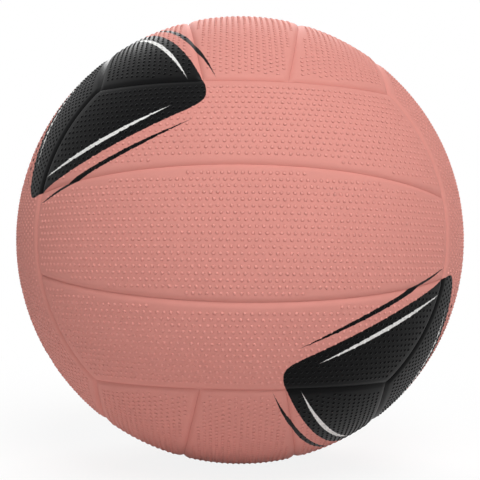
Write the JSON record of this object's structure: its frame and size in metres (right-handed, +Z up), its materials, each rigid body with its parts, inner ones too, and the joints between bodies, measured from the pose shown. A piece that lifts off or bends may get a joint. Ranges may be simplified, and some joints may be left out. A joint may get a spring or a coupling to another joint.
{
  "type": "netball",
  "caption": "Inflated netball with a pimpled rubber cover of crowned panel strips in crossing groups, layered over a wound bladder, with a pump needle valve.",
  "frame": {"origin": "centre of the ball", "axes": "+Z is up, -Y is the front that the picture shows, and +Y points out of the needle valve on the back"},
  "size_m": [0.2228, 0.2227, 0.2228],
  "materials": {
    "cover_rubber": "matte",
    "base_rubber": "matte",
    "nylon_thread": "satin",
    "bladder_rubber": "satin",
    "valve_rubber": "satin",
    "plug_rubber": "satin"
  },
  "bodies": {
    "root": {"front_upper_panel": "cover_rubber", "front_middle_panel": "cover_rubber", "front_lower_panel": "cover_rubber", "back_upper_panel": "cover_rubber", "back_middle_panel": "cover_rubber", "back_lower_panel": "cover_rubber", "left_front_panel": "cover_rubber", "left_middle_panel": "cover_rubber", "left_back_panel": "cover_rubber", "right_front_panel": "cover_rubber", "right_middle_panel": "cover_rubber", "right_back_panel": "cover_rubber", "top_left_panel": "cover_rubber", "top_middle_panel": "cover_rubber", "top_right_panel": "cover_rubber", "bottom_left_panel": "cover_rubber", "bottom_middle_panel": "cover_rubber", "bottom_right_panel": "cover_rubber", "carcass": "base_rubber", "winding": "nylon_thread", "bladder": "bladder_rubber", "valve_housing": "valve_rubber", "valve_plug": "plug_rubber"}
  },
  "joints": []
}
